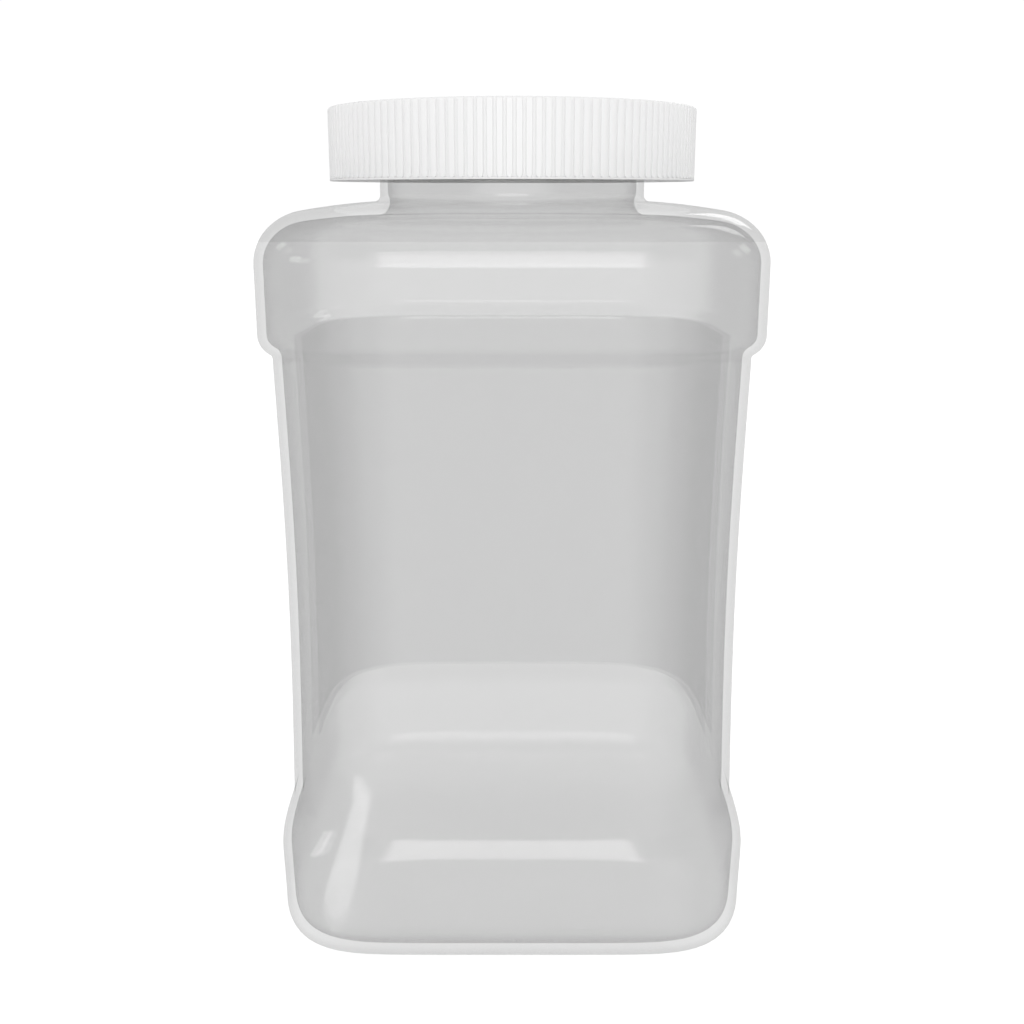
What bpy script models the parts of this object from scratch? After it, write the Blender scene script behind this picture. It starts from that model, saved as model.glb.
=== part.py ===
"""Square glass specimen jar with a ribbed double-wall screw cap.

Metres, +Z up, the jar's front towards -Y, the middle of its base at the origin.
"""

import math

import bmesh
import bpy
from mathutils import Vector

MM = 0.001

# Jar: heights above the table and half widths of the rounded-square plan
BASE_HALF = 73.6 * MM
BASE_TAPER = 0.5 * MM
WAIST_HALF = 70.5 * MM
WAIST_HOLLOW = 1.1 * MM
WAIST_MARGIN = 3.0 * MM
SHOULDER_HALF = 74.2 * MM
NECK_RADIUS = 41.2 * MM
HEEL_WIDTH = 31.5 * MM
HEEL_HEIGHT = 20.9 * MM
HEEL_FULLNESS = 1.9
STAND_RING_WIDTH = 7.0 * MM
PUSH_UP = 1.2 * MM
FLARE_BOTTOM = 41.5 * MM
FLARE_TOP = 50.3 * MM
FLARE_BOTTOM_ROUND = 22.0 * MM
FLARE_TOP_ROUND = 2.0 * MM
LEDGE_BOTTOM = 191.3 * MM
LEDGE_TOP = 193.9 * MM
LEDGE_BOTTOM_ROUND = 2.6 * MM
LEDGE_TOP_ROUND = 5.8 * MM
ROOF_EDGE = 229.8 * MM
ROOF_ROUND = 14.8 * MM
ROOF_CROWN = 0.3 * MM
NECK_BOTTOM = 233.7 * MM
NECK_FILLET = 1.8 * MM
RIM_HEIGHT = 253.8 * MM

# Plan squareness: 2 is a circle, and a higher number is a squarer outline
NECK_SQUARENESS = 2.0
BODY_SQUARENESS = 4.9
BASE_SQUARENESS = 6.0
BOTTOM_SQUARENESS = 8.8
ROOF_BLEND = 0.7

# Wall of the glass
WALL = 2.4 * MM
BASE_WALL = 4.0 * MM
NECK_FOOT_WALL = 4.5 * MM
NECK_FOOT_HEIGHT = 1.8 * MM
RIM_ROUND = 0.7 * MM

# Screw thread, right hand, one start
PITCH = 5.08 * MM
THREAD_ROOT_WIDTH = 2.5 * MM
THREAD_CREST_WIDTH = 1.2 * MM
THREAD_EMBED = 0.7 * MM
JAR_THREAD_CREST = 42.8 * MM
JAR_THREAD_START = 243.6 * MM
JAR_THREAD_TURNS = 1.3
CAP_THREAD_CREST = 41.65 * MM
CAP_THREAD_TURNS = 1.25
CAP_THREAD_LEAD_IN = 0.40

# Cap, outer shell
CAP_RADIUS = 56.45 * MM
CAP_BOTTOM = 239.6 * MM
CAP_TOP = 260.8 * MM
CAP_EDGE_ROUND = 0.7 * MM
LIP_HEIGHT = 0.6 * MM
RIB_COUNT = 134
RIB_DEPTH = 0.5 * MM
RIB_SHARE = 0.60
RIB_FLANK = 0.06
OUTER_SKIRT_WALL = 1.5 * MM
OUTER_TOP_WALL = 2.0 * MM
SNAP_BEAD = 0.7 * MM
SNAP_BEAD_HEIGHT = 1.0 * MM

# Cap, inner shell and liner
INNER_ROOT_RADIUS = 43.3 * MM
INNER_SKIRT_WALL = 1.9 * MM
INNER_TOP_WALL = 1.8 * MM
FLANGE_THICKNESS = 1.5 * MM
BACKING_THICKNESS = 1.5 * MM
FACING_THICKNESS = 0.5 * MM
GAP = 0.3 * MM

# Mesh fineness
JAR_COLUMNS = 56
ROUND_COLUMNS = 60
CORNER_CROWDING = 0.09
THREAD_STEPS_PER_TURN = 48
ARC_STEPS = 3
SHARP_ANGLE = math.radians(35)


def start_clean():
    for found in list(bpy.data.objects):
        bpy.data.objects.remove(found, do_unlink=True)


def simple_material(name, colour, roughness, alpha=1.0):
    """One Principled material, see-through when alpha is under 1."""
    made = bpy.data.materials.new(name)
    made.use_nodes = True
    shader = made.node_tree.nodes["Principled BSDF"]
    shader.inputs["Base Color"].default_value = (*colour, 1.0)
    shader.inputs["Roughness"].default_value = roughness
    shader.inputs["Alpha"].default_value = alpha
    made.diffuse_color = (*colour, alpha)
    return made


def finish_object(name, mesh, material):
    """Turn a bmesh into a named object whose faces point outwards."""
    bmesh.ops.recalc_face_normals(mesh, faces=mesh.faces)
    data = bpy.data.meshes.new(name)
    mesh.to_mesh(data)
    mesh.free()
    data.shade_smooth()
    data.set_sharp_from_angle(angle=SHARP_ANGLE)
    made = bpy.data.objects.new(name, data)
    bpy.context.collection.objects.link(made)
    data.materials.append(material)
    return made


def plan_ring(mesh, half_width, height, squareness, columns, crowding=0.0):
    """Vertices of one level outline: a circle at squareness 2, else a rounded square.

    Crowding moves the vertices towards the four corners, where the outline bends most.
    """
    ring = []
    for step in range(columns):
        angle = math.tau * step / columns
        angle += crowding * math.sin(4 * angle)
        across = math.cos(angle)
        along = math.sin(angle)
        reach = (abs(across) ** squareness + abs(along) ** squareness) ** (-1.0 / squareness)
        ring.append(mesh.verts.new((half_width * reach * across, half_width * reach * along, height)))
    return ring


def join_rings(mesh, lower, upper):
    """Skin between two rings that have the same number of vertices."""
    count = len(lower)
    for step in range(count):
        after = (step + 1) % count
        mesh.faces.new((lower[step], lower[after], upper[after], upper[step]))


def close_ring(mesh, ring, height):
    """Cover a ring with triangles that meet on the axis."""
    centre = mesh.verts.new((0.0, 0.0, height))
    for step in range(len(ring)):
        mesh.faces.new((ring[step], ring[(step + 1) % len(ring)], centre))


def loft(levels, first_height, last_height, columns, crowding=0.0):
    """Closed skin through (half width, height, squareness) levels, shut on the axis at both ends."""
    mesh = bmesh.new()
    rings = [plan_ring(mesh, *level, columns, crowding) for level in levels]
    for lower, upper in zip(rings, rings[1:]):
        join_rings(mesh, lower, upper)
    close_ring(mesh, rings[0], first_height)
    close_ring(mesh, rings[-1], last_height)
    return mesh


def rounded_corner(before, corner, after, radius, steps):
    """Points of the arc that rounds a corner of a (half width, height) outline."""
    corner = Vector(corner)
    back = (Vector(before) - corner).normalized()
    ahead = (Vector(after) - corner).normalized()
    opening = back.angle(ahead)
    sweep = math.pi - opening
    centre = corner + (back + ahead).normalized() * (radius / math.sin(opening / 2))
    first = corner + back * (radius / math.tan(opening / 2)) - centre
    last = corner + ahead * (radius / math.tan(opening / 2)) - centre
    points = []
    for step in range(steps + 1):
        share = step / steps
        spoke = first * math.sin((1 - share) * sweep) + last * math.sin(share * sweep)
        points.append(tuple(centre + spoke / math.sin(sweep)))
    return points


def standing_base():
    """Shallow push-up, flat standing ring and rounded heel, out to the base wall."""
    foot = BASE_HALF - BASE_TAPER - HEEL_WIDTH
    ring_inside = foot - STAND_RING_WIDTH
    points = []
    for step in range(1, 5):
        share = step / 4
        points.append((ring_inside * share, PUSH_UP * (1 + math.cos(math.pi * share)) / 2))
    steps = 7
    for step in range(steps + 1):
        angle = math.pi / 2 * step / steps
        points.append((
            foot + HEEL_WIDTH * math.sin(angle) ** (2 / HEEL_FULLNESS),
            HEEL_HEIGHT * (1 - math.cos(angle) ** (2 / HEEL_FULLNESS)),
        ))
    return points


def waist_wall():
    """Grip waist, drawn in slightly between the base flare and the ledge."""
    bottom = FLARE_TOP + WAIST_MARGIN
    top = LEDGE_BOTTOM - WAIST_MARGIN
    steps = 4
    points = []
    for step in range(steps + 1):
        share = step / steps
        points.append((
            WAIST_HALF - WAIST_HOLLOW * math.sin(math.pi * share),
            bottom + (top - bottom) * share,
        ))
    return points


def shoulder_roof():
    """Rounded shoulder, then the slightly crowned roof that runs in to the neck."""
    edge = (SHOULDER_HALF, ROOF_EDGE)
    points = rounded_corner((SHOULDER_HALF, LEDGE_TOP), edge, (NECK_RADIUS, NECK_BOTTOM), ROOF_ROUND, 6)
    start_half, start_height = points[-1]
    steps = 3
    for step in range(1, steps + 1):
        share = 0.85 * step / steps
        points.append((
            start_half + (NECK_RADIUS - start_half) * share,
            start_height + (NECK_BOTTOM - start_height) * share + 4 * ROOF_CROWN * share * (1 - share),
        ))
    return points


def jar_outline():
    """Outside of the jar from the standing ring up to the rim, as (half width, height)."""
    heel_top = (BASE_HALF - BASE_TAPER, HEEL_HEIGHT)
    flare_low = (BASE_HALF, FLARE_BOTTOM)
    flare_high = (WAIST_HALF, FLARE_TOP)
    ledge_low = (WAIST_HALF, LEDGE_BOTTOM)
    ledge_high = (SHOULDER_HALF, LEDGE_TOP)
    roof_edge = (SHOULDER_HALF, ROOF_EDGE)
    neck_low = (NECK_RADIUS, NECK_BOTTOM)
    outline = standing_base()
    outline += rounded_corner(heel_top, flare_low, flare_high, FLARE_BOTTOM_ROUND, ARC_STEPS)
    outline += rounded_corner(flare_low, flare_high, ledge_low, FLARE_TOP_ROUND, 2)
    outline += waist_wall()
    outline += rounded_corner(flare_high, ledge_low, ledge_high, LEDGE_BOTTOM_ROUND, 2)
    outline += rounded_corner(ledge_low, ledge_high, roof_edge, LEDGE_TOP_ROUND, ARC_STEPS)
    outline += shoulder_roof()
    outline += rounded_corner(roof_edge, neck_low, (NECK_RADIUS, RIM_HEIGHT), NECK_FILLET, 2)
    outline.append((NECK_RADIUS, RIM_HEIGHT - RIM_ROUND))
    return outline


def squareness_at(half_width, height):
    """Plan shape along the jar: squarest underneath, round at the neck."""
    if height >= ROOF_EDGE - ROOF_ROUND:
        share = max(0.0, (half_width - NECK_RADIUS) / (SHOULDER_HALF - NECK_RADIUS))
        return NECK_SQUARENESS + (BODY_SQUARENESS - NECK_SQUARENESS) * share ** ROOF_BLEND
    if height >= FLARE_TOP:
        return BODY_SQUARENESS
    if height >= FLARE_BOTTOM:
        share = (height - FLARE_BOTTOM) / (FLARE_TOP - FLARE_BOTTOM)
        return BASE_SQUARENESS + (BODY_SQUARENESS - BASE_SQUARENESS) * share
    share = max(0.0, 1.0 - height / HEEL_HEIGHT)
    return BASE_SQUARENESS + (BOTTOM_SQUARENESS - BASE_SQUARENESS) * share


def wall_at(half_width, height):
    """Glass thickness: heavier under the heel and round the foot of the neck."""
    if height < ROOF_EDGE - ROOF_ROUND:
        return WALL + (BASE_WALL - WALL) * max(0.0, 1.0 - height / HEEL_HEIGHT)
    share = (SHOULDER_HALF - half_width) / (SHOULDER_HALF - NECK_RADIUS)
    fade = min(1.0, max(0.0, 1.0 - (height - NECK_BOTTOM) / NECK_FOOT_HEIGHT))
    return WALL + (NECK_FOOT_WALL - WALL) * share * fade


def inward(outline, index):
    """Unit direction from the outline into the jar at one of its points."""
    before = outline[max(0, index - 1)]
    after = outline[min(len(outline) - 1, index + 1)]
    run = (after[0] - before[0], after[1] - before[1])
    length = math.hypot(*run)
    return (-run[1] / length, run[0] / length)


def jar_levels():
    """Levels of the whole shell: up the outside, over the rim and down the inside."""
    outline = jar_outline()
    outside = []
    inside = []
    for index, (half, height) in enumerate(outline):
        square = squareness_at(half, height)
        wall = wall_at(half, height)
        direction = inward(outline, index)
        outside.append((half, height, square))
        inside.append((half + direction[0] * wall, height + direction[1] * wall, square))
    rim = [
        (NECK_RADIUS - RIM_ROUND, RIM_HEIGHT, NECK_SQUARENESS),
        (NECK_RADIUS - WALL + RIM_ROUND, RIM_HEIGHT, NECK_SQUARENESS),
    ]
    return outside + rim + inside[::-1]


def helical_ridge(name, material, root_radius, crest_radius, start_height, start_turn, turns):
    """Thread ridge that climbs anticlockwise seen from above, fading out at both ends."""
    mesh = bmesh.new()
    steps = round(THREAD_STEPS_PER_TURN * turns)
    fade_steps = 4
    outward = 1.0 if crest_radius > root_radius else -1.0
    buried = root_radius - outward * THREAD_EMBED
    sections = []
    for step in range(steps + 1):
        turn = start_turn + turns * step / steps
        height = start_height + PITCH * turn
        fade = min(1.0, (step + 0.25) / fade_steps, (steps - step + 0.25) / fade_steps)
        crest = root_radius + (crest_radius - root_radius) * fade
        angle = math.tau * turn
        section = []
        for radius, offset in (
            (buried, -THREAD_ROOT_WIDTH / 2),
            (crest, -THREAD_CREST_WIDTH / 2),
            (crest, THREAD_CREST_WIDTH / 2),
            (buried, THREAD_ROOT_WIDTH / 2),
        ):
            place = (radius * math.cos(angle), radius * math.sin(angle), height + offset)
            section.append(mesh.verts.new(place))
        sections.append(section)
    for lower, upper in zip(sections, sections[1:]):
        join_rings(mesh, lower, upper)
    mesh.faces.new(sections[0])
    mesh.faces.new(sections[-1])
    return finish_object(name, mesh, material)


def merge_thread(owner, ridge):
    """Union a thread ridge into the wall that carries it, and drop the loose ridge."""
    join = owner.modifiers.new("thread", "BOOLEAN")
    join.operation = "UNION"
    join.solver = "EXACT"
    join.object = ridge
    ridge.hide_render = True
    ridge.display_type = "WIRE"


def jar_body():
    material = simple_material("clear_glass", (0.86, 0.88, 0.89), 0.05, 0.35)
    mesh = loft(jar_levels(), PUSH_UP, PUSH_UP + BASE_WALL, JAR_COLUMNS, CORNER_CROWDING)
    made = finish_object("jar_body", mesh, material)
    ridge = helical_ridge(
        "jar_thread_form", material, NECK_RADIUS, JAR_THREAD_CREST,
        JAR_THREAD_START, 0.0, JAR_THREAD_TURNS)
    merge_thread(made, ridge)
    return made


def rib_ring(mesh, crest, groove, height):
    """Fluted outline with four vertices for each rib: two in the groove, two on the crest."""
    ring = []
    for rib in range(RIB_COUNT):
        half_rib = RIB_SHARE / 2
        for radius, offset in (
            (crest, -half_rib),
            (crest, half_rib),
            (groove, half_rib + RIB_FLANK),
            (groove, 1 - half_rib - RIB_FLANK),
        ):
            angle = math.tau * (rib + offset) / RIB_COUNT
            place = (radius * math.cos(angle), radius * math.sin(angle), height)
            ring.append(mesh.verts.new(place))
    return ring


def join_to_ribs(mesh, plain, ribbed):
    """Skin between a plain ring and a fluted ring with four times its vertices."""
    count = len(plain)
    for step in range(count):
        after = (step + 1) % count
        for part in range(3):
            mesh.faces.new((plain[step], ribbed[4 * step + part], ribbed[4 * step + part + 1]))
        mesh.faces.new((plain[step], ribbed[4 * step + 3], ribbed[4 * after], plain[after]))


def cap_outer_shell():
    """Ribbed cover: lip, ribs, flat top and an inside with a bead that holds the inner shell."""
    mesh = bmesh.new()
    inner_radius = CAP_RADIUS - RIB_DEPTH - OUTER_SKIRT_WALL
    bead_top = CAP_BOTTOM + SNAP_BEAD_HEIGHT
    ceiling = CAP_TOP - OUTER_TOP_WALL
    groove = CAP_RADIUS - RIB_DEPTH
    inside = [
        (inner_radius, ceiling),
        (inner_radius, bead_top + 0.4 * MM),
        (inner_radius - SNAP_BEAD, bead_top),
        (inner_radius - SNAP_BEAD, CAP_BOTTOM + 0.4 * MM),
        (inner_radius - SNAP_BEAD + 0.4 * MM, CAP_BOTTOM),
        (CAP_RADIUS - 0.25 * MM, CAP_BOTTOM),
        (CAP_RADIUS, CAP_BOTTOM + 0.2 * MM),
        (CAP_RADIUS, CAP_BOTTOM + LIP_HEIGHT),
    ]
    rings = [plan_ring(mesh, radius, height, 2.0, RIB_COUNT) for radius, height in inside]
    for lower, upper in zip(rings, rings[1:]):
        join_rings(mesh, lower, upper)
    close_ring(mesh, rings[0], ceiling)
    low_ribs = rib_ring(mesh, CAP_RADIUS, groove, CAP_BOTTOM + LIP_HEIGHT + 0.2 * MM)
    high_ribs = rib_ring(mesh, CAP_RADIUS, groove, CAP_TOP - CAP_EDGE_ROUND)
    join_to_ribs(mesh, rings[-1], low_ribs)
    join_rings(mesh, low_ribs, high_ribs)
    edge = plan_ring(mesh, CAP_RADIUS - 0.55 * CAP_EDGE_ROUND, CAP_TOP - 0.25 * CAP_EDGE_ROUND, 2.0, RIB_COUNT)
    top = plan_ring(mesh, CAP_RADIUS - 1.4 * CAP_EDGE_ROUND, CAP_TOP, 2.0, RIB_COUNT)
    join_to_ribs(mesh, edge, high_ribs)
    join_rings(mesh, edge, top)
    close_ring(mesh, top, CAP_TOP)
    return finish_object("cap_outer_shell", mesh, simple_material("white_cap", (0.9, 0.9, 0.9), 0.45))


def cap_inner_shell():
    """Threaded cup inside the cover, with a bottom flange that snaps above the cover's bead."""
    top = CAP_TOP - OUTER_TOP_WALL - GAP
    ceiling = top - INNER_TOP_WALL
    outer = INNER_ROOT_RADIUS + INNER_SKIRT_WALL
    flange_radius = CAP_RADIUS - RIB_DEPTH - OUTER_SKIRT_WALL - GAP
    flange_bottom = CAP_BOTTOM + SNAP_BEAD_HEIGHT + 0.4 * MM + GAP
    flange_top = flange_bottom + FLANGE_THICKNESS
    outline = [
        (outer - 1.0 * MM, top),
        (outer, top - 1.0 * MM),
        (outer, flange_top + 1.0 * MM),
        (outer + 1.0 * MM, flange_top),
        (flange_radius - 0.3 * MM, flange_top),
        (flange_radius, flange_top - 0.3 * MM),
        (flange_radius, flange_bottom + 0.3 * MM),
        (flange_radius - 0.3 * MM, flange_bottom),
        (INNER_ROOT_RADIUS + 0.5 * MM, flange_bottom),
        (INNER_ROOT_RADIUS, flange_bottom + 0.5 * MM),
        (INNER_ROOT_RADIUS, ceiling),
    ]
    levels = [(radius, height, 2.0) for radius, height in outline]
    material = simple_material("natural_cap", (0.86, 0.86, 0.85), 0.5)
    made = finish_object("cap_inner_shell", loft(levels, top, ceiling, ROUND_COLUMNS), material)
    cap_thread_base = JAR_THREAD_START - PITCH / 2
    ridge = helical_ridge(
        "cap_thread_form", material, INNER_ROOT_RADIUS, CAP_THREAD_CREST,
        cap_thread_base, CAP_THREAD_LEAD_IN, CAP_THREAD_TURNS)
    merge_thread(made, ridge)
    return made


def disc(name, radius, bottom, top, material):
    """Flat round disc with a fine chamfer on both edges."""
    chamfer = min(0.15 * MM, (top - bottom) / 4)
    outline = [
        (radius - chamfer, top),
        (radius, top - chamfer),
        (radius, bottom + chamfer),
        (radius - chamfer, bottom),
    ]
    levels = [(half, height, 2.0) for half, height in outline]
    return finish_object(name, loft(levels, top, bottom, ROUND_COLUMNS), material)


def liner():
    """Foam disc and its film facing, between the inner shell and the jar's rim."""
    radius = INNER_ROOT_RADIUS - 0.4 * MM
    backing_top = CAP_TOP - OUTER_TOP_WALL - GAP - INNER_TOP_WALL - GAP
    backing_bottom = backing_top - BACKING_THICKNESS
    facing_top = backing_bottom - GAP
    facing_bottom = facing_top - FACING_THICKNESS
    foam = simple_material("liner_foam", (0.93, 0.93, 0.9), 0.8)
    film = simple_material("liner_film", (0.8, 0.82, 0.84), 0.3)
    disc("liner_backing", radius, backing_bottom, backing_top, foam)
    disc("liner_facing", radius, facing_bottom, facing_top, film)


def main():
    start_clean()
    jar_body()
    cap_outer_shell()
    cap_inner_shell()
    liner()


main()
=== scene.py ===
"""Looks of the square glass specimen jar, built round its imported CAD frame."""

import math

import bmesh
import bpy
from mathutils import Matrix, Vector


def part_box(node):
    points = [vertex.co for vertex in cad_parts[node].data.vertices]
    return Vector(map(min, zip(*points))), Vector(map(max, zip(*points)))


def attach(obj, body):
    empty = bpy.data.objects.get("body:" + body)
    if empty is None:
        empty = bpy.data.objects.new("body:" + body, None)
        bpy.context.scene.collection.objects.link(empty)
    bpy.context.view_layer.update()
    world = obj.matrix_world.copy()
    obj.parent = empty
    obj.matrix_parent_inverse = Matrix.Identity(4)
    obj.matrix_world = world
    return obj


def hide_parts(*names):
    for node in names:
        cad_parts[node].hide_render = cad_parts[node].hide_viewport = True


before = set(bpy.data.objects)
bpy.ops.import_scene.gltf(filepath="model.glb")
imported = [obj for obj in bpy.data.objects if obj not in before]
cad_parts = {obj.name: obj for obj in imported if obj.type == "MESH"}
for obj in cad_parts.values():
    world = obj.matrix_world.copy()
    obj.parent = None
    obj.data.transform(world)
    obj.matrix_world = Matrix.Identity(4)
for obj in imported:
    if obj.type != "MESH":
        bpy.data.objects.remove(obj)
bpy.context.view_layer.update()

MM = 0.001

# Places read from the frame
RIM_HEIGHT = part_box("jar_body")[1].z
CAP_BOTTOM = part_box("cap_outer_shell")[0].z
CAP_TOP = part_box("cap_outer_shell")[1].z
INNER_LOW, INNER_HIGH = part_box("cap_inner_shell")

# Jar outline: half widths and heights of its bands
BASE_HALF = 73.6 * MM
BASE_TAPER = 0.5 * MM
WAIST_HALF = 70.5 * MM
WAIST_HOLLOW = 1.1 * MM
WAIST_MARGIN = 3.0 * MM
SHOULDER_HALF = 74.2 * MM
NECK_RADIUS = 41.2 * MM
HEEL_WIDTH = 31.5 * MM
HEEL_HEIGHT = 20.9 * MM
HEEL_FULLNESS = 1.9
STAND_RING_WIDTH = 7.0 * MM
PUSH_UP = 1.2 * MM
FLARE_BOTTOM = 41.5 * MM
FLARE_TOP = 50.3 * MM
FLARE_BOTTOM_ROUND = 22.0 * MM
FLARE_TOP_ROUND = 2.0 * MM
LEDGE_BOTTOM = 191.3 * MM
LEDGE_TOP = 193.9 * MM
LEDGE_BOTTOM_ROUND = 2.6 * MM
LEDGE_TOP_ROUND = 5.8 * MM
ROOF_EDGE = 229.8 * MM
ROOF_ROUND = 14.8 * MM
ROOF_CROWN = 0.3 * MM
ROOF_RUN = 0.85
NECK_BOTTOM = 233.7 * MM
NECK_FILLET = 1.8 * MM
NECK_MARGIN = 2.4 * MM
NECK_SQUARENESS = 2.0
BODY_SQUARENESS = 4.9
BASE_SQUARENESS = 6.0
BOTTOM_SQUARENESS = 8.8
ROOF_BLEND = 0.7
WALL = 2.4 * MM
BASE_WALL = 4.0 * MM
NECK_FOOT_WALL = 4.5 * MM
NECK_FOOT_HEIGHT = 1.8 * MM
RIM_ROUND = 0.7 * MM

# Screw thread
PITCH = 5.08 * MM
THREAD_ROOT_WIDTH = 2.5 * MM
THREAD_CREST_WIDTH = 1.2 * MM
JAR_THREAD_RISE = 1.6 * MM
JAR_THREAD_START = 243.6 * MM
JAR_THREAD_TURNS = (0.0, 1.3)
CAP_THREAD_RISE = 1.65 * MM
CAP_THREAD_TURNS = (0.40, 1.65)
THREAD_FADE_TURNS = 0.08

# Cap: shares are of the distance from one rib to the next
CAP_RADIUS = 56.45 * MM
RIB_COUNT = 134
RIB_DEPTH = 0.5 * MM
RIB_SHARE = 0.60
RIB_FOOT_SHARE = 0.12
RIB_FOOT_ROUND = 0.75 * MM
RIB_FLANK = 0.06
RIB_SOFTENING = 0.05
RIB_SHOULDER_DROP = 0.16
CAP_EDGE_ROUND = 0.7 * MM
LIP_HEIGHT = 0.6 * MM
LIP_ROUND = 0.2 * MM
OUTER_SKIRT_WALL = 1.5 * MM
OUTER_TOP_WALL = 2.0 * MM
SNAP_BEAD = 0.7 * MM
SNAP_BEAD_HEIGHT = 1.0 * MM
SNAP_BEAD_SLOPE = 0.4 * MM
MOULD_ROUND = 1.0 * MM
INNER_ROOT_RADIUS = 43.3 * MM
INNER_SKIRT_WALL = 1.9 * MM
INNER_TOP_WALL = 1.8 * MM
FLANGE_THICKNESS = 1.5 * MM
FLANGE_CHAMFER = 0.3 * MM

# Mesh fineness
JAR_COLUMNS = 224
ROUND_COLUMNS = 192
PUSH_UP_STEPS = 10
HEEL_STEPS = 26
ARC_STEPS = 8
WAIST_STEPS = 14
SHOULDER_STEPS = 20
ROOF_STEPS = 10
NECK_FILLET_STEPS = 6
NECK_STEPS = 56
RIM_STEPS = 5
RIB_FOOT_STEPS = 6
CAP_EDGE_STEPS = 5
CAP_THREAD_STEPS = 44
LINER_EDGE_STEPS = 4

# Share of the light that the glass skin stops and what its edges add to it, then painted shade on the
# back half of the waist, added as more stopped light, more at its corners and less edge-on
GLASS_DENSITY = 0.142
EDGE_DENSITY = 0.075
FOLD_DENSITY = 0.05
# Painted shade: extra darkness on the back half of the waist, between the flare and the ledge
BACK_WAIST_PAINTED_SHADE = 0.078
BACK_CORNER_PAINTED_SHADE = 0.03
BACK_EDGE_PAINTED_SHADE = -0.045

# Brightness of the white backdrop, of the light it gives, and of what reflections see of the room
BACKDROP_SEEN = 1.02
BACKDROP_LIGHT = 1.05
ROOM_MIRRORED = 0.08
SCREEN_MIRRORED = 0.88

# Light panels: distance in metres from the jar's middle, and the height of that middle
PANEL_DISTANCE = 4.0
JAR_MIDDLE = 130.0 * MM

# Camera: distance from the jar's axis, height, downward tilt and focal length on a 36 mm sensor
CAMERA_DISTANCE = 390.0 * MM
CAMERA_HEIGHT = 235.5 * MM
CAMERA_TILT = math.radians(14.8)
CAMERA_LENS = 42.19


def plan_ring(mesh, half_width, height, squareness, columns, ridge=None):
    """Vertices of one level outline; ridge(angle, height) adds to the reach."""
    ring = []
    for step in range(columns):
        angle = math.tau * step / columns
        across = math.cos(angle)
        along = math.sin(angle)
        reach = (abs(across) ** squareness + abs(along) ** squareness) ** (-1.0 / squareness)
        reach *= half_width
        if ridge is not None:
            reach += ridge(angle, height)
        ring.append(mesh.verts.new((reach * across, reach * along, height)))
    return ring


def join_rings(mesh, lower, upper):
    """Quads between two rings with the same number of vertices."""
    count = len(lower)
    for step in range(count):
        after = (step + 1) % count
        mesh.faces.new((lower[step], lower[after], upper[after], upper[step]))


def close_ring(mesh, ring, height):
    """Cover a ring with triangles that meet on the axis."""
    centre = mesh.verts.new((0.0, 0.0, height))
    for step in range(len(ring)):
        mesh.faces.new((ring[step], ring[(step + 1) % len(ring)], centre))


def close_skin(mesh, rings, first_height, last_height):
    """Join rings in their order and cover both ends."""
    for lower, upper in zip(rings, rings[1:]):
        join_rings(mesh, lower, upper)
    close_ring(mesh, rings[0], first_height)
    close_ring(mesh, rings[-1], last_height)


def finish_piece(name, mesh, body, node, material, sharp_angle=40.0):
    """Turn a bmesh into a smooth-shaded piece that rides on a body and stands for a CAD node."""
    bmesh.ops.recalc_face_normals(mesh, faces=mesh.faces)
    data = bpy.data.meshes.new(name)
    mesh.to_mesh(data)
    mesh.free()
    data.shade_smooth()
    data.set_sharp_from_angle(angle=math.radians(sharp_angle))
    data.materials.append(material)
    piece = bpy.data.objects.new(name, data)
    bpy.context.scene.collection.objects.link(piece)
    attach(piece, body)
    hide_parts(node)
    return piece


def quarter_turn(steps):
    """Angles from 0 to a right angle in equal steps."""
    return [math.pi / 2 * (step / steps) for step in range(steps + 1)]


def rounded_corner(before, corner, after, radius, steps):
    """Points of the arc that rounds a corner of a (half width, height) outline."""
    corner = Vector(corner)
    back = (Vector(before) - corner).normalized()
    ahead = (Vector(after) - corner).normalized()
    opening = back.angle(ahead)
    sweep = math.pi - opening
    centre = corner + (back + ahead).normalized() * (radius / math.sin(opening / 2))
    first = corner + back * (radius / math.tan(opening / 2)) - centre
    last = corner + ahead * (radius / math.tan(opening / 2)) - centre
    points = []
    for step in range(steps + 1):
        share = step / steps
        spoke = first * math.sin((1 - share) * sweep) + last * math.sin(share * sweep)
        points.append(tuple(centre + spoke / math.sin(sweep)))
    return points


def standing_base():
    """Shallow push-up, flat standing ring and rounded heel, out to the base wall."""
    foot = BASE_HALF - BASE_TAPER - HEEL_WIDTH
    ring_inside = foot - STAND_RING_WIDTH
    points = []
    for step in range(1, PUSH_UP_STEPS + 1):
        share = step / PUSH_UP_STEPS
        points.append((ring_inside * share, PUSH_UP * (1 + math.cos(math.pi * share)) / 2))
    for angle in quarter_turn(HEEL_STEPS):
        points.append((
            foot + HEEL_WIDTH * math.sin(angle) ** (2 / HEEL_FULLNESS),
            HEEL_HEIGHT * (1 - math.cos(angle) ** (2 / HEEL_FULLNESS)),
        ))
    return points


def waist_wall():
    """Grip waist, drawn in slightly between the base flare and the ledge."""
    bottom = FLARE_TOP + WAIST_MARGIN
    top = LEDGE_BOTTOM - WAIST_MARGIN
    points = []
    for step in range(WAIST_STEPS + 1):
        share = step / WAIST_STEPS
        points.append((
            WAIST_HALF - WAIST_HOLLOW * math.sin(math.pi * share),
            bottom + (top - bottom) * share,
        ))
    return points


def shoulder_roof():
    """Rounded shoulder, then the slightly crowned roof that runs in to the neck."""
    below = (SHOULDER_HALF, LEDGE_TOP)
    edge = (SHOULDER_HALF, ROOF_EDGE)
    points = rounded_corner(below, edge, (NECK_RADIUS, NECK_BOTTOM), ROOF_ROUND, SHOULDER_STEPS)
    start_half, start_height = points[-1]
    for step in range(1, ROOF_STEPS + 1):
        share = ROOF_RUN * step / ROOF_STEPS
        points.append((
            start_half + (NECK_RADIUS - start_half) * share,
            start_height + (NECK_BOTTOM - start_height) * share + 4 * ROOF_CROWN * share * (1 - share),
        ))
    return points


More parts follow.
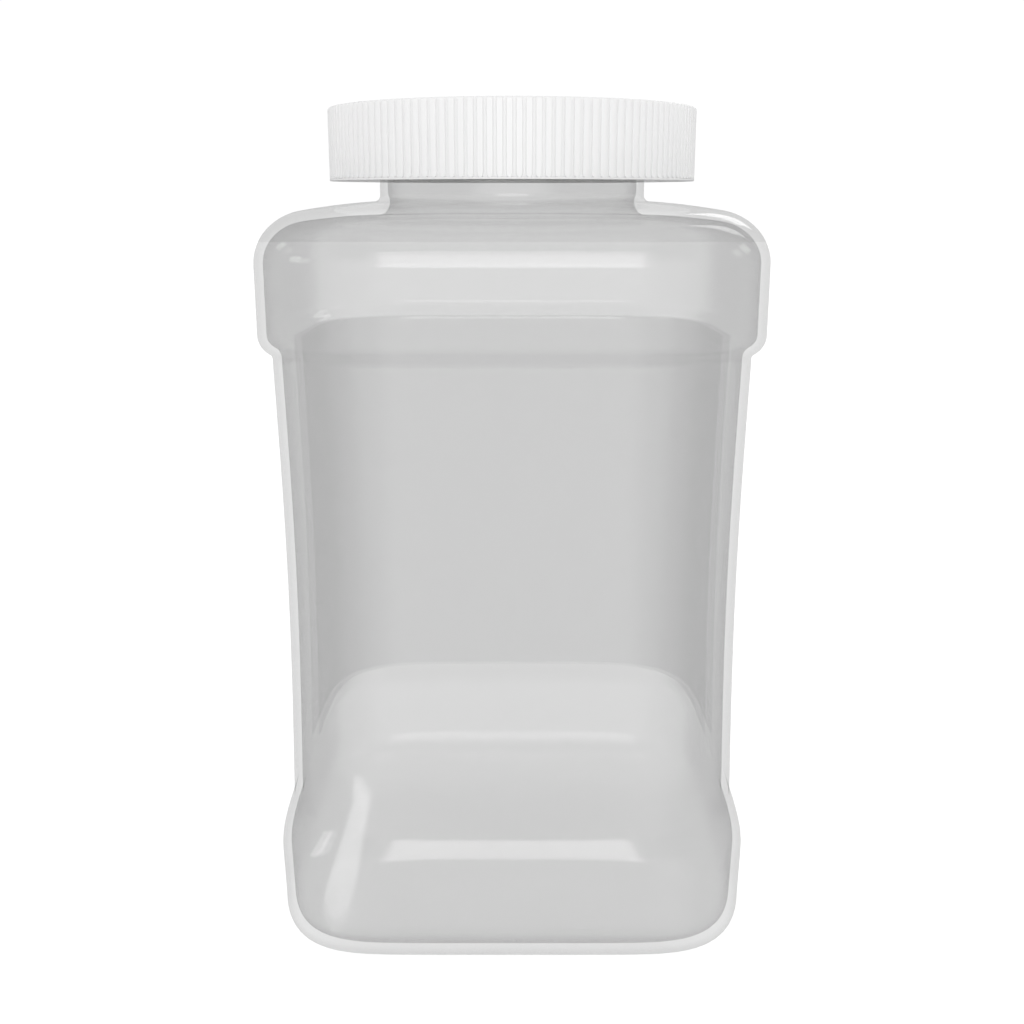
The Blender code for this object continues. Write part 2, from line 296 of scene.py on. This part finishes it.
def neck_wall():
    """Straight neck in close levels, so that its thread can stand out of them."""
    bottom = NECK_BOTTOM + NECK_MARGIN
    top = RIM_HEIGHT - RIM_ROUND
    return [(NECK_RADIUS, bottom + (top - bottom) * step / NECK_STEPS) for step in range(NECK_STEPS + 1)]


def jar_outline():
    """Outside of the jar from the standing ring up to the rim, as (half width, height)."""
    heel_top = (BASE_HALF - BASE_TAPER, HEEL_HEIGHT)
    flare_low = (BASE_HALF, FLARE_BOTTOM)
    flare_high = (WAIST_HALF, FLARE_TOP)
    ledge_low = (WAIST_HALF, LEDGE_BOTTOM)
    ledge_high = (SHOULDER_HALF, LEDGE_TOP)
    roof_edge = (SHOULDER_HALF, ROOF_EDGE)
    neck_low = (NECK_RADIUS, NECK_BOTTOM)
    rim = (NECK_RADIUS, RIM_HEIGHT)
    outline = standing_base()
    outline += rounded_corner(heel_top, flare_low, flare_high, FLARE_BOTTOM_ROUND, ARC_STEPS)
    outline += rounded_corner(flare_low, flare_high, ledge_low, FLARE_TOP_ROUND, ARC_STEPS)
    outline += waist_wall()
    outline += rounded_corner(flare_high, ledge_low, ledge_high, LEDGE_BOTTOM_ROUND, ARC_STEPS)
    outline += rounded_corner(ledge_low, ledge_high, roof_edge, LEDGE_TOP_ROUND, ARC_STEPS)
    outline += shoulder_roof()
    outline += rounded_corner(roof_edge, neck_low, rim, NECK_FILLET, NECK_FILLET_STEPS)
    outline += neck_wall()
    return outline


def squareness_at(half_width, height):
    """Plan shape along the jar: squarest underneath, round at the neck."""
    if height >= ROOF_EDGE - ROOF_ROUND:
        share = max(0.0, (half_width - NECK_RADIUS) / (SHOULDER_HALF - NECK_RADIUS))
        return NECK_SQUARENESS + (BODY_SQUARENESS - NECK_SQUARENESS) * share ** ROOF_BLEND
    if height >= FLARE_TOP:
        return BODY_SQUARENESS
    if height >= FLARE_BOTTOM:
        share = (height - FLARE_BOTTOM) / (FLARE_TOP - FLARE_BOTTOM)
        return BASE_SQUARENESS + (BODY_SQUARENESS - BASE_SQUARENESS) * share
    share = max(0.0, 1.0 - height / HEEL_HEIGHT)
    return BASE_SQUARENESS + (BOTTOM_SQUARENESS - BASE_SQUARENESS) * share


def wall_at(half_width, height):
    """Glass thickness: heavier under the heel and round the foot of the neck."""
    if height < ROOF_EDGE - ROOF_ROUND:
        return WALL + (BASE_WALL - WALL) * max(0.0, 1.0 - height / HEEL_HEIGHT)
    share = (SHOULDER_HALF - half_width) / (SHOULDER_HALF - NECK_RADIUS)
    fade = min(1.0, max(0.0, 1.0 - (height - NECK_BOTTOM) / NECK_FOOT_HEIGHT))
    return WALL + (NECK_FOOT_WALL - WALL) * share * fade


def inward(outline, index):
    """Unit direction from the outline into the jar at one of its points."""
    before = outline[max(0, index - 1)]
    after = outline[min(len(outline) - 1, index + 1)]
    run = (after[0] - before[0], after[1] - before[1])
    length = math.hypot(*run)
    return (-run[1] / length, run[0] / length)


def jar_levels():
    """Outside levels from the standing ring up over the rim, and inside levels down to the floor."""
    outside = []
    inside = []
    outline = jar_outline()
    for index, (half, height) in enumerate(outline):
        square = squareness_at(half, height)
        wall = wall_at(half, height)
        direction = inward(outline, index)
        outside.append((half, height, square))
        inside.append((half + direction[0] * wall, height + direction[1] * wall, square))
    for angle in quarter_turn(RIM_STEPS)[1:]:
        run = RIM_ROUND * (1 - math.cos(angle))
        height = RIM_HEIGHT - RIM_ROUND * (1 - math.sin(angle))
        outside.append((NECK_RADIUS - run, height, NECK_SQUARENESS))
        inside.append((NECK_RADIUS - WALL + run, height, NECK_SQUARENESS))
    return outside, inside[::-1]


def thread_ridge(start_height, turns, rise):
    """Reach that a helical ridge adds at an angle and height, fading out at both ends.

    A rise below zero makes the ridge stand inwards.
    """
    first, last = turns
    half_root = THREAD_ROOT_WIDTH / 2
    half_crest = THREAD_CREST_WIDTH / 2

    def ridge(angle, height):
        most = 0.0
        for lap in range(2):
            turn = angle / math.tau + lap
            if not first <= turn <= last:
                continue
            offset = abs(height - start_height - PITCH * turn)
            flank = (half_root - offset) / (half_root - half_crest)
            fade = min(1.0, (turn - first) / THREAD_FADE_TURNS, (last - turn) / THREAD_FADE_TURNS)
            most = max(most, fade * min(1.0, max(0.0, flank)))
        return rise * most

    return ridge


def jar_piece(material):
    """Hollow glass jar with its outside thread."""
    mesh = bmesh.new()
    ridge = thread_ridge(JAR_THREAD_START, JAR_THREAD_TURNS, JAR_THREAD_RISE)
    outside, inside = jar_levels()
    rings = [plan_ring(mesh, *level, JAR_COLUMNS, ridge) for level in outside]
    rings += [plan_ring(mesh, *level, JAR_COLUMNS) for level in inside]
    close_skin(mesh, rings, PUSH_UP, PUSH_UP + BASE_WALL)
    return finish_piece("jar_glass", mesh, "jar", "jar_body", material)


def rib_ring(mesh, crest, groove, height, rib_share):
    """Fluted outline: each rib has six vertices, with rounded shoulders on its crest."""
    ring = []
    half_rib = rib_share / 2
    soft = min(RIB_SOFTENING, half_rib / 3)
    shoulder = crest - (crest - groove) * RIB_SHOULDER_DROP
    for rib in range(RIB_COUNT):
        for radius, offset in (
            (shoulder, -half_rib),
            (crest, -half_rib + soft),
            (crest, half_rib - soft),
            (shoulder, half_rib),
            (groove, half_rib + RIB_FLANK),
            (groove, 1 - half_rib - RIB_FLANK),
        ):
            angle = math.tau * (rib + offset + 0.25) / RIB_COUNT
            place = (radius * math.cos(angle), radius * math.sin(angle), height)
            ring.append(mesh.verts.new(place))
    return ring


def cap_cover_piece(material):
    """Ribbed cover with rounded rib ends, a thin lip and a soft top edge."""
    mesh = bmesh.new()
    columns = RIB_COUNT * 6
    groove = CAP_RADIUS - RIB_DEPTH
    inner_radius = groove - OUTER_SKIRT_WALL
    bead_top = CAP_BOTTOM + SNAP_BEAD_HEIGHT
    ceiling = CAP_TOP - OUTER_TOP_WALL
    inside = [
        (inner_radius - MOULD_ROUND, ceiling),
        (inner_radius - 0.3 * MOULD_ROUND, ceiling - 0.3 * MOULD_ROUND),
        (inner_radius, ceiling - MOULD_ROUND),
        (inner_radius, bead_top + SNAP_BEAD_SLOPE),
        (inner_radius - SNAP_BEAD, bead_top),
        (inner_radius - SNAP_BEAD, CAP_BOTTOM + SNAP_BEAD_SLOPE),
        (inner_radius - SNAP_BEAD + SNAP_BEAD_SLOPE, CAP_BOTTOM),
        (CAP_RADIUS - 1.25 * LIP_ROUND, CAP_BOTTOM),
        (CAP_RADIUS - 0.3 * LIP_ROUND, CAP_BOTTOM + 0.4 * LIP_ROUND),
        (CAP_RADIUS, CAP_BOTTOM + LIP_ROUND),
        (CAP_RADIUS, CAP_BOTTOM + LIP_HEIGHT - 0.5 * LIP_ROUND),
    ]
    rings = [plan_ring(mesh, radius, height, 2.0, columns) for radius, height in inside]
    rib_foot = CAP_BOTTOM + LIP_HEIGHT
    for angle in quarter_turn(RIB_FOOT_STEPS):
        height = rib_foot + RIB_FOOT_ROUND * (1 - math.cos(angle))
        width = RIB_FOOT_SHARE + (RIB_SHARE - RIB_FOOT_SHARE) * math.sin(angle)
        rings.append(rib_ring(mesh, CAP_RADIUS, groove, height, width))
    rings.append(rib_ring(mesh, CAP_RADIUS, groove, CAP_TOP - 1.6 * CAP_EDGE_ROUND, RIB_SHARE))
    for angle in quarter_turn(CAP_EDGE_STEPS):
        crest = CAP_RADIUS - CAP_EDGE_ROUND * (1 - math.cos(angle))
        depth = RIB_DEPTH * math.cos(angle)
        height = CAP_TOP - CAP_EDGE_ROUND * (1 - math.sin(angle))
        rings.append(rib_ring(mesh, crest, crest - depth, height, RIB_SHARE))
    rings.append(rib_ring(mesh, CAP_RADIUS * 0.6, CAP_RADIUS * 0.6, CAP_TOP, RIB_SHARE))
    close_skin(mesh, rings, ceiling, CAP_TOP)
    return finish_piece("cap_cover", mesh, "cap", "cap_outer_shell", material, 30.0)


def cap_insert_piece(material):
    """Threaded cup and flange inside the cover."""
    mesh = bmesh.new()
    top = INNER_HIGH.z
    ceiling = top - INNER_TOP_WALL
    outer = INNER_ROOT_RADIUS + INNER_SKIRT_WALL
    flange_radius = INNER_HIGH.x
    flange_bottom = INNER_LOW.z
    flange_top = flange_bottom + FLANGE_THICKNESS
    outside = [
        (outer - MOULD_ROUND, top),
        (outer - 0.3 * MOULD_ROUND, top - 0.3 * MOULD_ROUND),
        (outer, top - MOULD_ROUND),
        (outer, flange_top + MOULD_ROUND),
        (outer + 0.3 * MOULD_ROUND, flange_top + 0.3 * MOULD_ROUND),
        (outer + MOULD_ROUND, flange_top),
        (flange_radius - FLANGE_CHAMFER, flange_top),
        (flange_radius, flange_top - FLANGE_CHAMFER),
        (flange_radius, flange_bottom + FLANGE_CHAMFER),
        (flange_radius - FLANGE_CHAMFER, flange_bottom),
        (INNER_ROOT_RADIUS + MOULD_ROUND / 2, flange_bottom),
    ]
    rings = [plan_ring(mesh, radius, height, 2.0, ROUND_COLUMNS) for radius, height in outside]
    thread = thread_ridge(JAR_THREAD_START - PITCH / 2, CAP_THREAD_TURNS, -CAP_THREAD_RISE)
    mouth = flange_bottom + MOULD_ROUND / 2
    for step in range(CAP_THREAD_STEPS + 1):
        height = mouth + (ceiling - mouth) * step / CAP_THREAD_STEPS
        rings.append(plan_ring(mesh, INNER_ROOT_RADIUS, height, 2.0, ROUND_COLUMNS, thread))
    close_skin(mesh, rings, top, ceiling)
    return finish_piece("cap_insert", mesh, "cap", "cap_inner_shell", material)


def liner_piece(name, node, material):
    """Soft-edged disc that fills a liner node's box."""
    low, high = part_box(node)
    radius = high.x
    edge = min(0.2 * MM, (high.z - low.z) / 3)
    mesh = bmesh.new()
    outline = [(radius * 0.6, high.z)]
    for angle in quarter_turn(LINER_EDGE_STEPS):
        outline.append((radius - edge * (1 - math.sin(angle)), high.z - edge * (1 - math.cos(angle))))
    for angle in quarter_turn(LINER_EDGE_STEPS):
        outline.append((radius - edge * (1 - math.cos(angle)), low.z + edge * (1 - math.sin(angle))))
    outline.append((radius * 0.6, low.z))
    rings = [plan_ring(mesh, half, height, 2.0, ROUND_COLUMNS) for half, height in outline]
    close_skin(mesh, rings, high.z, low.z)
    return finish_piece(name, mesh, "liner", node, material)


def new_material(name):
    """Material with an empty canvas: its nodes, links and Principled shader."""
    made = bpy.data.materials.new(name)
    made.use_nodes = True
    nodes = made.node_tree.nodes
    return made, nodes, made.node_tree.links, nodes["Principled BSDF"]


def object_noise(nodes, links, scale, detail=2.0):
    """Noise in the object's own space."""
    place = nodes.new("ShaderNodeTexCoord")
    noise = nodes.new("ShaderNodeTexNoise")
    noise.inputs["Scale"].default_value = scale
    noise.inputs["Detail"].default_value = detail
    links.new(place.outputs["Object"], noise.inputs["Vector"])
    return noise


def spread(nodes, links, source, low, high):
    """Map a 0 to 1 value to a narrow range."""
    mapper = nodes.new("ShaderNodeMapRange")
    mapper.inputs["To Min"].default_value = low
    mapper.inputs["To Max"].default_value = high
    links.new(source, mapper.inputs["Value"])
    return mapper.outputs["Result"]


def add_bump(nodes, links, shader, height, strength, distance):
    """Fine relief on a shader from a 0 to 1 height."""
    bump = nodes.new("ShaderNodeBump")
    bump.inputs["Strength"].default_value = strength
    bump.inputs["Distance"].default_value = distance
    links.new(height, bump.inputs["Height"])
    links.new(bump.outputs["Normal"], shader.inputs["Normal"])


def smooth_share(nodes, links, source, start, end):
    """0 at start and 1 at end of a value's range, eased between them."""
    mapper = nodes.new("ShaderNodeMapRange")
    mapper.interpolation_type = "SMOOTHSTEP"
    mapper.inputs["From Min"].default_value = start
    mapper.inputs["From Max"].default_value = end
    links.new(source, mapper.inputs["Value"])
    return mapper.outputs["Result"]


def calculate(nodes, links, operation, first, second):
    """One maths node; each operand is a socket or a number."""
    node = nodes.new("ShaderNodeMath")
    node.operation = operation
    for index, operand in enumerate((first, second)):
        if isinstance(operand, bpy.types.NodeSocket):
            links.new(operand, node.inputs[index])
        else:
            node.inputs[index].default_value = operand
    return node.outputs[0]


def add_share(nodes, links, total, share, weight):
    """A total plus a weighted share."""
    return calculate(nodes, links, "ADD", calculate(nodes, links, "MULTIPLY", share, weight), total)


def glass_material():
    """Clear glass drawn as a see-through skin, denser edge-on, with painted shade on the back half of
    the waist.
    """
    made, nodes, links, shader = new_material("clear_glass")
    shader.inputs["Base Color"].default_value = (0.04, 0.04, 0.04, 1.0)
    shader.inputs["IOR"].default_value = 2.0
    shader.inputs["Specular IOR Level"].default_value = 1.0
    place = nodes.new("ShaderNodeTexCoord")
    split = nodes.new("ShaderNodeSeparateXYZ")
    links.new(place.outputs["Object"], split.inputs["Vector"])
    # Painted shade: the back half of the waist, between the flare and the ledge, stops more light, more
    # at its corners and less edge-on
    behind = calculate(nodes, links, "GREATER_THAN", split.outputs["Y"], 0.0)
    above = calculate(nodes, links, "GREATER_THAN", split.outputs["Z"], FLARE_TOP)
    below = calculate(nodes, links, "LESS_THAN", split.outputs["Z"], LEDGE_BOTTOM)
    painted_shade_band = calculate(nodes, links, "MULTIPLY", behind, calculate(nodes, links, "MULTIPLY", above, below))
    slant = nodes.new("ShaderNodeLayerWeight")
    slant.inputs["Blend"].default_value = 0.5
    edge = smooth_share(nodes, links, slant.outputs["Facing"], 0.45, 0.9)
    corner = smooth_share(nodes, links, slant.outputs["Facing"], 0.05, 0.35)
    fold = smooth_share(nodes, links, slant.outputs["Facing"], 0.94, 1.0)
    density_and_painted_shade = add_share(nodes, links, BACK_WAIST_PAINTED_SHADE, corner, BACK_CORNER_PAINTED_SHADE)
    density_and_painted_shade = add_share(nodes, links, density_and_painted_shade, edge, BACK_EDGE_PAINTED_SHADE)
    density_and_painted_shade = calculate(nodes, links, "MULTIPLY", painted_shade_band, density_and_painted_shade)
    density_and_painted_shade = add_share(nodes, links, density_and_painted_shade, edge, EDGE_DENSITY)
    density_and_painted_shade = add_share(nodes, links, density_and_painted_shade, fold, FOLD_DENSITY)
    links.new(calculate(nodes, links, "ADD", density_and_painted_shade, GLASS_DENSITY), shader.inputs["Alpha"])
    smudge = object_noise(nodes, links, 14.0, detail=3.0)
    links.new(spread(nodes, links, smudge.outputs["Fac"], 0.06, 0.12), shader.inputs["Roughness"])
    ripple = object_noise(nodes, links, 30.0)
    add_bump(nodes, links, shader, ripple.outputs["Fac"], 0.05, 0.4 * MM)
    return made


def moulded_white(name, colour, roughness, grain):
    """White moulding with a fine grain and slight colour and gloss changes."""
    made, nodes, links, shader = new_material(name)
    cloud = object_noise(nodes, links, 45.0)
    tint = nodes.new("ShaderNodeMix")
    tint.data_type = "RGBA"
    tint.inputs["A"].default_value = (*[0.975 * channel for channel in colour], 1.0)
    tint.inputs["B"].default_value = (*colour, 1.0)
    links.new(cloud.outputs["Fac"], tint.inputs["Factor"])
    links.new(tint.outputs["Result"], shader.inputs["Base Color"])
    links.new(spread(nodes, links, cloud.outputs["Fac"], roughness - 0.04, roughness + 0.05),
              shader.inputs["Roughness"])
    speckle = object_noise(nodes, links, grain)
    add_bump(nodes, links, shader, speckle.outputs["Fac"], 0.04, 0.1 * MM)
    return made


def floor():
    """Wide seamless white floor just under the jar."""
    mesh = bmesh.new()
    bmesh.ops.create_grid(mesh, x_segments=8, y_segments=8, size=6.0)
    data = bpy.data.meshes.new("floor")
    mesh.to_mesh(data)
    mesh.free()
    made, nodes, links, shader = new_material("pale_floor")
    shader.inputs["Base Color"].default_value = (0.2, 0.2, 0.2, 1.0)
    shader.inputs["Roughness"].default_value = 1.0
    shader.inputs["Specular IOR Level"].default_value = 0.0
    shader.inputs["Emission Color"].default_value = (1.0, 1.0, 1.0, 1.0)
    shader.inputs["Emission Strength"].default_value = 0.9
    data.materials.append(made)
    piece = bpy.data.objects.new("floor", data)
    piece.location.z = -0.4 * MM
    piece.visible_glossy = False
    bpy.context.scene.collection.objects.link(piece)


def surroundings():
    """White backdrop; reflections see a dim room with a broad bright screen in front."""
    world = bpy.data.worlds.new("studio")
    bpy.context.scene.world = world
    world.use_nodes = True
    nodes = world.node_tree.nodes
    links = world.node_tree.links
    place = nodes.new("ShaderNodeTexCoord")
    split = nodes.new("ShaderNodeSeparateXYZ")
    links.new(place.outputs["Generated"], split.inputs["Vector"])
    aside = calculate(nodes, links, "ABSOLUTE", split.outputs["X"], 0.0)
    across = smooth_share(nodes, links, aside, 0.74, 0.30)
    front = smooth_share(nodes, links, split.outputs["Y"], 0.0, -0.3)
    high = smooth_share(nodes, links, split.outputs["Z"], 0.62, 0.08)
    low = smooth_share(nodes, links, split.outputs["Z"], -0.85, -0.55)
    screen = across
    for share in (front, high, low):
        screen = calculate(nodes, links, "MULTIPLY", screen, share)
    mirrored = add_share(nodes, links, ROOM_MIRRORED, screen, SCREEN_MIRRORED)
    path = nodes.new("ShaderNodeLightPath")
    level = nodes.new("ShaderNodeMix")
    level.inputs["A"].default_value = BACKDROP_LIGHT
    links.new(path.outputs["Is Glossy Ray"], level.inputs["Factor"])
    links.new(mirrored, level.inputs["B"])
    seen = nodes.new("ShaderNodeMix")
    seen.inputs["B"].default_value = BACKDROP_SEEN
    links.new(path.outputs["Is Camera Ray"], seen.inputs["Factor"])
    links.new(level.outputs["Result"], seen.inputs["A"])
    links.new(seen.outputs["Result"], nodes["Background"].inputs["Strength"])
    nodes["Background"].inputs["Color"].default_value = (1.0, 1.0, 1.0, 1.0)


def soft_box(name, bearing, rise, width, height, brightness):
    """Light panel that shows only in reflections.

    Bearing is degrees round from the front towards +X, rise is degrees above level, and width
    and height are the degrees it spans.
    """
    centre = Vector((0.0, 0.0, JAR_MIDDLE))
    turn = math.radians(bearing)
    lift = math.radians(rise)
    away = Vector((math.sin(turn) * math.cos(lift), -math.cos(turn) * math.cos(lift), math.sin(lift)))
    light = bpy.data.lights.new(name, "AREA")
    light.shape = "RECTANGLE"
    light.size = 2 * PANEL_DISTANCE * math.tan(math.radians(width / 2))
    light.size_y = 2 * PANEL_DISTANCE * math.tan(math.radians(height / 2))
    light.energy = brightness * math.pi * light.size * light.size_y
    lamp = bpy.data.objects.new(name, light)
    lamp.location = centre + away * PANEL_DISTANCE
    lamp.rotation_euler = away.to_track_quat("Z", "Y").to_euler()
    lamp.visible_diffuse = False
    lamp.visible_camera = False
    bpy.context.scene.collection.objects.link(lamp)


def studio():
    """White surroundings, a weak front light, and panels for the bars and glints in the glass."""
    surroundings()
    fill = bpy.data.lights.new("front_fill", "SUN")
    fill.energy = 0.12
    fill.angle = math.radians(40)
    lamp = bpy.data.objects.new("front_fill", fill)
    lamp.rotation_euler = (math.radians(62), 0.0, 0.0)
    lamp.visible_glossy = False
    bpy.context.scene.collection.objects.link(lamp)
    soft_box("key_low_box", 0.0, 8.7, 25.0, 9.6, 2.2)
    soft_box("key_high_box", 0.0, 25.0, 25.0, 22.0, 1.9)
    soft_box("key_wide_box", 0.0, 20.5, 31.0, 30.0, 0.3)
    soft_box("left_front_box", -62.0, 19.0, 12.0, 12.0, 3.0)
    soft_box("left_box", -102.0, 34.0, 10.0, 10.0, 3.0)
    soft_box("right_box", 100.0, 30.0, 14.0, 12.0, 3.0)
    soft_box("back_box", 159.0, 24.0, 14.0, 11.0, 4.0)


def camera():
    """The photograph's viewpoint: straight from the front, looking a little down."""
    lens = bpy.data.cameras.new("camera")
    lens.lens = CAMERA_LENS
    lens.sensor_width = 36.0
    lens.clip_start = 0.01
    made = bpy.data.objects.new("camera", lens)
    made.location = (0.0, -CAMERA_DISTANCE, CAMERA_HEIGHT)
    made.rotation_euler = (math.pi / 2 - CAMERA_TILT, 0.0, 0.0)
    bpy.context.scene.collection.objects.link(made)
    bpy.context.scene.camera = made


def main():
    bpy.context.scene.view_settings.view_transform = "Standard"
    jar_piece(glass_material())
    cap_cover_piece(moulded_white("white_cap", (0.86, 0.86, 0.86), 0.42, 900.0))
    cap_insert_piece(moulded_white("natural_cap", (0.82, 0.82, 0.81), 0.5, 700.0))
    liner_piece("liner_foam_disc", "liner_backing",
                moulded_white("liner_foam", (0.88, 0.88, 0.86), 0.8, 1500.0))
    liner_piece("liner_film_disc", "liner_facing",
                moulded_white("liner_film", (0.78, 0.8, 0.82), 0.3, 300.0))
    floor()
    studio()
    camera()


main()
